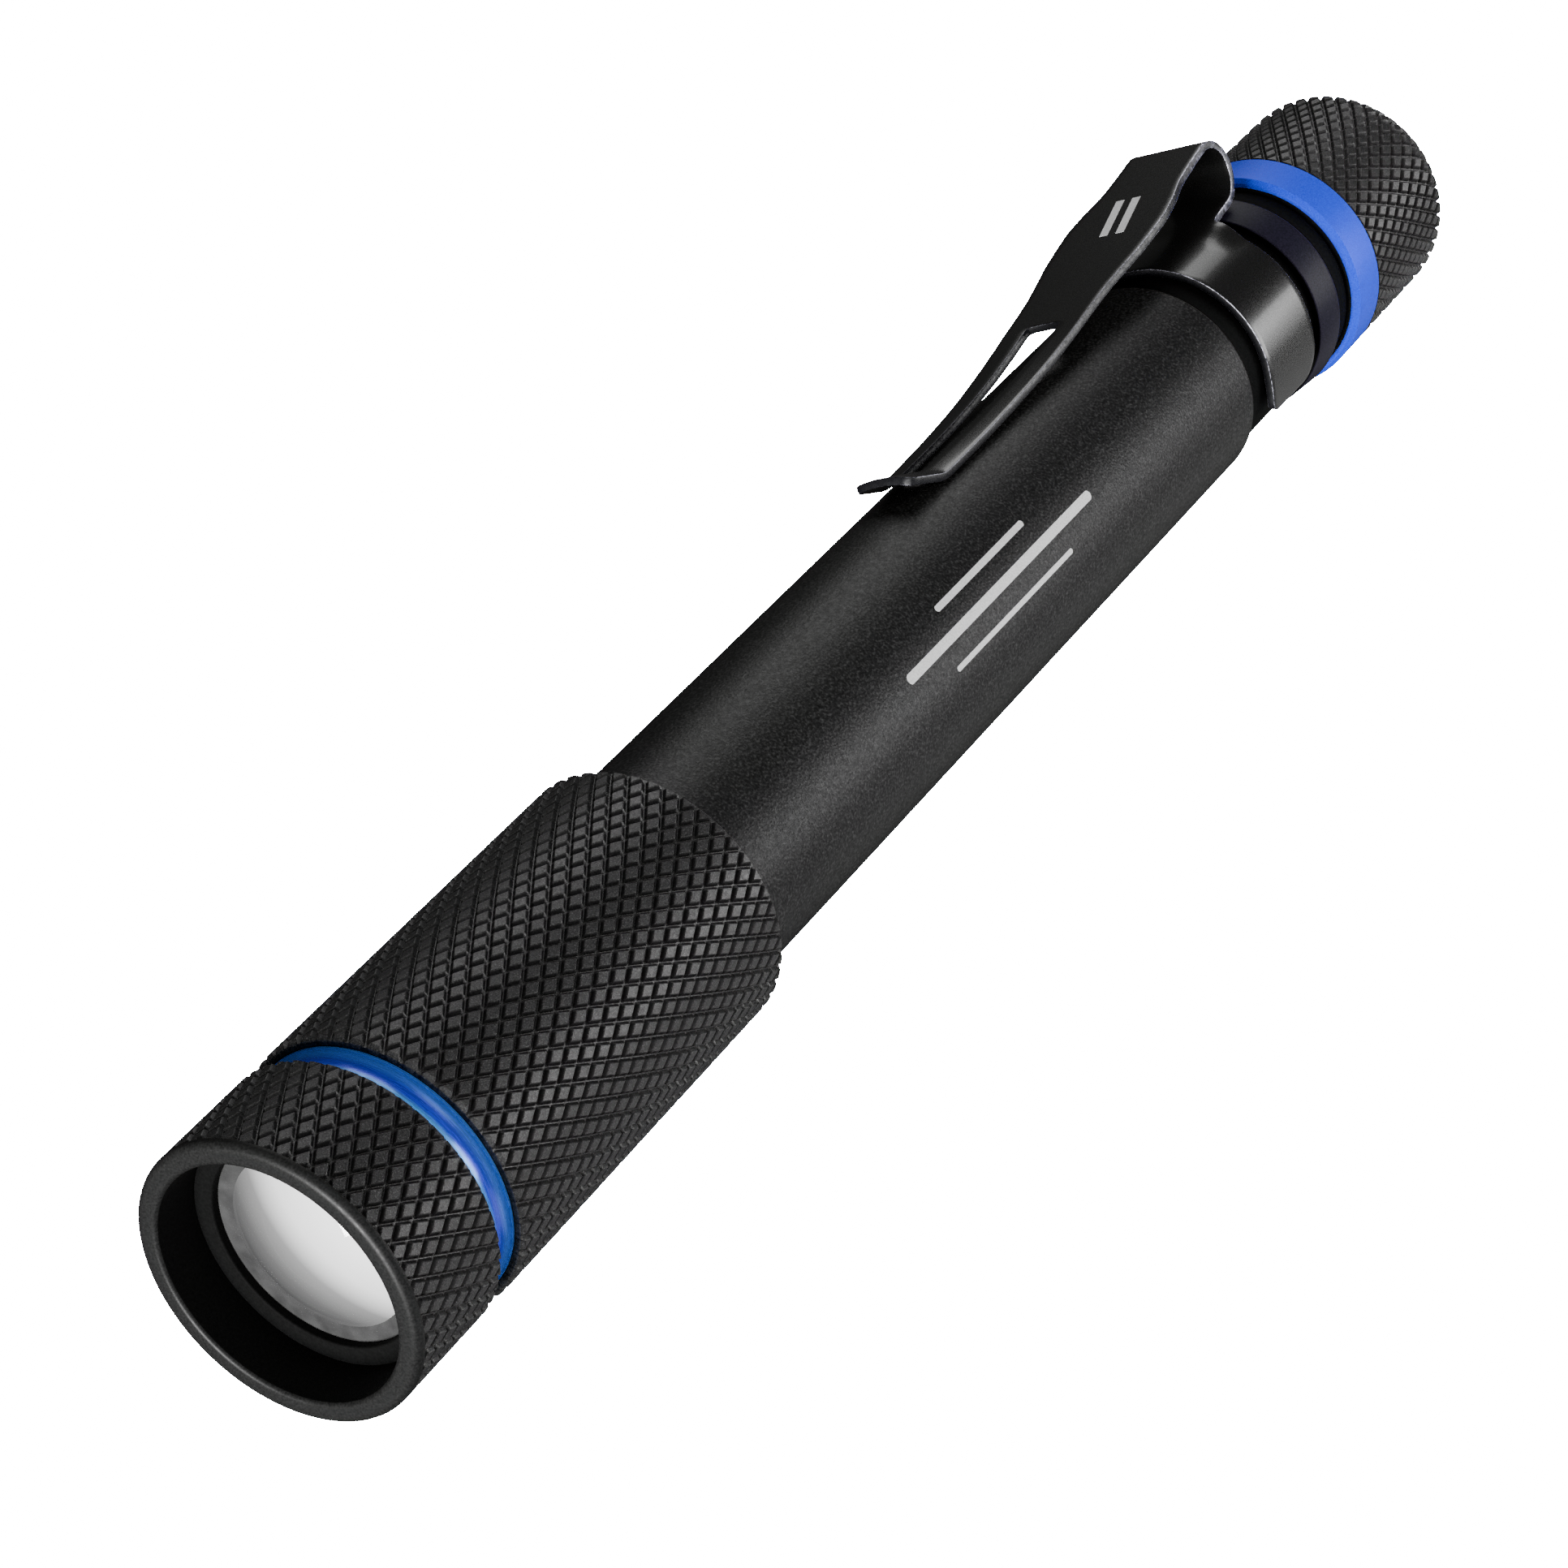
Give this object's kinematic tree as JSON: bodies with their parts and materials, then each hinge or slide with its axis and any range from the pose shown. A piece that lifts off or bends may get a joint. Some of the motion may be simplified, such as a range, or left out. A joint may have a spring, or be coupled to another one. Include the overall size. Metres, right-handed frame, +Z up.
{
  "type": "slide focus pen torch",
  "caption": "Slim pen torch with a knurled sliding focus head, domed lens, slotted pocket clip, screw tail cap with a press button, and coloured dress rings.",
  "frame": {"origin": "centre of the bezel's flat front face, on the pen axis", "axes": "+X the way the beam leaves, +Z up with the pen lying down, the pocket clip standing towards -Y"},
  "size_m": [0.1296, 0.0198, 0.0166],
  "materials": {
    "black_knurl": "satin black anodised, diamond knurled",
    "black_tube": "matte bead-blasted black anodised",
    "blue_gloss": "polished blue anodised",
    "blue_matte": "matte blue anodised",
    "clip_steel": "black coated spring steel",
    "clear_lens": "clear moulded lens",
    "black_rubber": "black rubber",
    "holder_metal": "bare turned aluminium",
    "brass": "plain brass",
    "board_white": "white solder mask",
    "board_green": "green solder mask",
    "lamp": "lamp package under clear silicone",
    "cell_wrap": "plain foil sleeve with bare ends",
    "spring_wire": "plated spring wire",
    "switch_plastic": "black moulded plastic"
  },
  "bodies": {
    "body": {"body_tube": "black_tube", "head_o_ring_front": "black_rubber", "head_o_ring_rear": "black_rubber", "stop_ring": "spring_wire", "led_pill": "holder_metal", "led_board": "board_white", "led_emitter": "lamp", "driver_board": "board_green", "front_contact": "brass", "battery_front": "cell_wrap", "battery_rear": "cell_wrap", "neck_gasket": "black_rubber"},
    "head": {"bezel": "black_knurl", "lens": "clear_lens", "lens_gasket": "black_rubber", "lens_retainer": "holder_metal", "head_ring": "blue_gloss", "head_sleeve": "black_knurl"},
    "clip_loop": {"clip_band": "clip_steel"},
    "clip_lever": {"clip_arm": "clip_steel"},
    "tail_carriage": {"tail_spring": "spring_wire", "tail_contact": "brass"},
    "tail": {"tail_ring": "blue_matte", "tail_cap": "black_knurl", "switch_retainer": "brass", "switch_housing": "switch_plastic", "switch_spring": "spring_wire"},
    "button": {"switch_plunger": "switch_plastic", "button_boot": "black_rubber"}
  },
  "joints": [
    {"name": "focus_slide", "type": "slide", "parent": "body", "child": "head", "axis": [1, 0, 0], "range_m": [0, 0.0075]},
    {"name": "clip_swivel", "type": "hinge", "parent": "body", "child": "clip_loop", "pos_m": [-0.1029, 0, 0], "axis": [1, 0, 0], "range_deg": [-180, 180]},
    {"name": "clip_flex", "type": "hinge", "parent": "clip_loop", "child": "clip_lever", "pos_m": [-0.10864, -0.00737, 0], "axis": [0, 0, -1], "range_deg": [0, 5], "stiffness_Nm_per_rad": 4},
    {"name": "tail_travel", "type": "slide", "parent": "body", "child": "tail_carriage", "axis": [-1, 0, 0], "range_m": [0, 0.0048]},
    {"name": "tail_turn", "type": "hinge", "parent": "tail_carriage", "child": "tail", "pos_m": [-0.12, 0, 0], "axis": [-1, 0, 0], "range_deg": [0, 2160]},
    {"name": "button_press", "type": "slide", "parent": "tail", "child": "button", "axis": [1, 0, 0], "range_m": [0, 0.0012], "stiffness_N_per_m": 2500, "deforming": ["switch_spring"]}
  ],
  "couplings": [
    {"joint": "tail_turn", "follows": "tail_travel", "rad_per_m": 7854}
  ]
}
